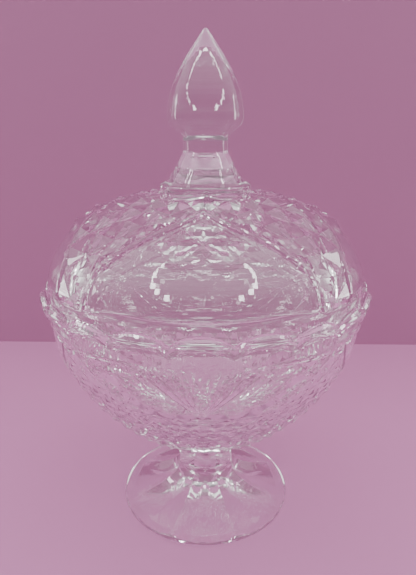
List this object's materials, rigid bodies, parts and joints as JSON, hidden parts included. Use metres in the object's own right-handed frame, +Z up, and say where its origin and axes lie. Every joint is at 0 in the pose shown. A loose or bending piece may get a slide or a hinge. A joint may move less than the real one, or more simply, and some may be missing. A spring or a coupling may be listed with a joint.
{
  "type": "covered candy dish",
  "caption": "Footed candy dish of clear pressed glass: scalloped bowl on a fluted foot, under a lift-off domed cover with a pointed faceted finial.",
  "frame": {"origin": "centre of the foot's underside, on the surface that the dish stands on", "axes": "+Z up the axis of the dish, through the tip of the finial; the middle of one arched panel faces -Y"},
  "size_m": [0.1346, 0.1346, 0.199],
  "materials": {
    "bowl_glass": "clear pressed glass, fire-polished gloss",
    "cover_glass": "clear pressed glass, fire-polished gloss"
  },
  "bodies": {
    "footed_bowl": {"foot": "bowl_glass", "stem": "bowl_glass", "bowl": "bowl_glass"},
    "cover": {"cover_dome": "cover_glass", "finial": "cover_glass"}
  },
  "joints": [
    {"name": "cover_lift", "type": "slide", "parent": "footed_bowl", "child": "cover", "axis": [0, 0, 1], "range_m": [0, 0.12]}
  ]
}
